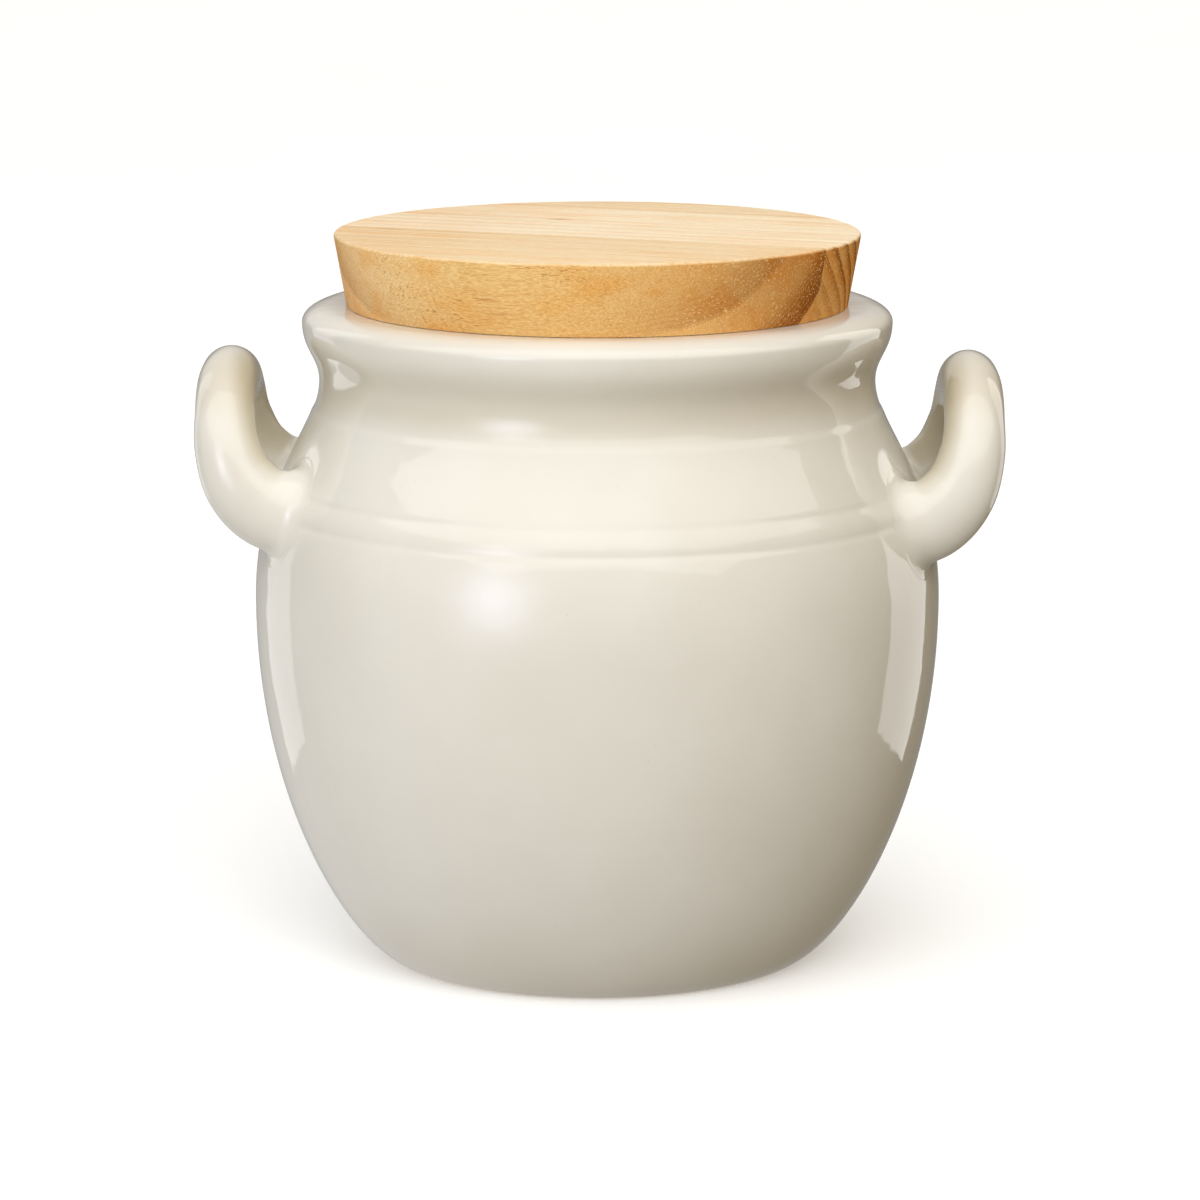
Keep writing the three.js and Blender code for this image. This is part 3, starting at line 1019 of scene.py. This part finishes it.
def add_light(name, lamp):
    """An area light turned to its aim."""
    data = bpy.data.lights.new(name, "AREA")
    data.shape = lamp["shape"]
    data.size, data.size_y = lamp["size"]
    data.energy = lamp["power"]
    data.color = lamp["colour"]
    light = bpy.data.objects.new(name, data)
    light.location = lamp["place"]
    towards = Vector(lamp["aim"]) - Vector(lamp["place"])
    light.rotation_euler = towards.to_track_quat("-Z", "Y").to_euler()
    bpy.context.scene.collection.objects.link(light)
    return light


def add_sun(name, from_direction, strength, spread_degrees):
    """A very large soft source, even over the whole floor."""
    data = bpy.data.lights.new(name, "SUN")
    data.energy = strength
    data.angle = math.radians(spread_degrees)
    light = bpy.data.objects.new(name, data)
    light.rotation_euler = (-Vector(from_direction)).to_track_quat("-Z", "Y").to_euler()
    bpy.context.scene.collection.objects.link(light)
    return light


def add_world():
    """A dim studio: bright backdrop above the horizon, pale table below, darker and warmer to the right."""
    world = bpy.data.worlds.new("studio")
    world.use_nodes = True
    nodes = Nodes(world.node_tree)
    direction = nodes.add("TexCoord").outputs["Generated"]
    x, y, z = nodes.add("SeparateXYZ", {0: direction}).outputs
    room = nodes.fade(z, -0.1, 0.4, 0.24, 0.34)
    behind = nodes.fade(y, 0.35, 0.95, 0.0, 0.5)
    backdrop = nodes.math("MULTIPLY", behind, nodes.fade(z, 0.0, 0.2, 0.0, 1.0))
    table = nodes.fade(z, -0.5, 0.1, 0.5, 0.0)
    table = nodes.math("MULTIPLY", table, nodes.fade(x, -0.9, 0.9, 1.35, 0.15))
    light = nodes.math("ADD", nodes.math("ADD", room, backdrop), table)
    side = nodes.fade(x, -0.9, 0.9, 1.1, 0.55)
    warmth = nodes.fade(x, 0.0, 0.9, 0.0, 1.0)
    background = nodes.tree.nodes["Background"]
    colour = nodes.blend(warmth, LEFT_ROOM_COLOUR, RIGHT_ROOM_COLOUR)
    nodes.put(background.inputs["Color"], colour)
    nodes.put(background.inputs["Strength"], nodes.math("MULTIPLY", light, side))
    bpy.context.scene.world = world


def soften(light):
    """Let an area light fade from its middle to its edge."""
    light.data.use_nodes = True
    nodes = Nodes(light.data.node_tree)
    place = nodes.add("NewGeometry").outputs["Parametric"]
    off_centre = nodes.add("VectorMath", {0: place, 1: (0.5, 0.5, 0)}, operation="DISTANCE")
    share = nodes.fade(off_centre.outputs["Value"], 0.0, 0.5, 1.0, 0.0)
    squared = nodes.math("MULTIPLY", share, share)
    fourth_power = nodes.math("MULTIPLY", squared, squared)
    nodes.put(nodes.tree.nodes["Emission"].inputs["Strength"], fourth_power)


def add_studio():
    """Lights that only shade the jar, and lights that only show as reflections in its glaze."""
    add_world()
    top = add_sun("soft_top", TOP_DIRECTION, TOP_STRENGTH, TOP_SPREAD)
    key = add_light("key", KEY)
    glint = add_light("key_glint", GLINT)
    soften(glint)
    fill = add_light("fill", FILL)
    strips = [add_light("side_strip", strip) for strip in (LEFT_STRIP, RIGHT_STRIP)]
    card = add_light("overhead_card", OVERHEAD_CARD)
    for light in (top, key, fill):
        light.visible_glossy = False
    for light in (glint, *strips, card):
        light.visible_diffuse = False
    bpy.context.scene.view_settings.view_transform = "Standard"


# The dressed part

def settle(piece, body, node):
    """Hide the piece's solid and attach the piece to the body that it rides on."""
    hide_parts(node)
    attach(piece, body)


def build():
    add_camera()
    add_floor()
    add_studio()
    glaze = glaze_material()
    settle(jar_body(glaze), "jar", "jar_body")
    settle(handle_piece("left_loop", LEFT_LOOP, math.pi, glaze), "jar", "left_handle")
    settle(handle_piece("right_loop", RIGHT_LOOP, 0, glaze), "jar", "right_handle")
    front_wood = wood_material("front_stave_wood", FRONT_WOOD)
    middle_wood = wood_material("middle_stave_wood", MIDDLE_WOOD)
    back_wood = wood_material("back_stave_wood", BACK_WOOD)
    front = lid_stave("front_stave", None, FRONT_JOINT, front_wood)
    middle = lid_stave("middle_stave", FRONT_JOINT, BACK_JOINT, middle_wood)
    back = lid_stave("back_stave", BACK_JOINT, None, back_wood)
    settle(front, "lid", "lid_front_stave")
    settle(middle, "lid", "lid_middle_stave")
    settle(back, "lid", "lid_back_stave")
    settle(seal_ring(silicone_material()), "seal", "seal_ring")


build()
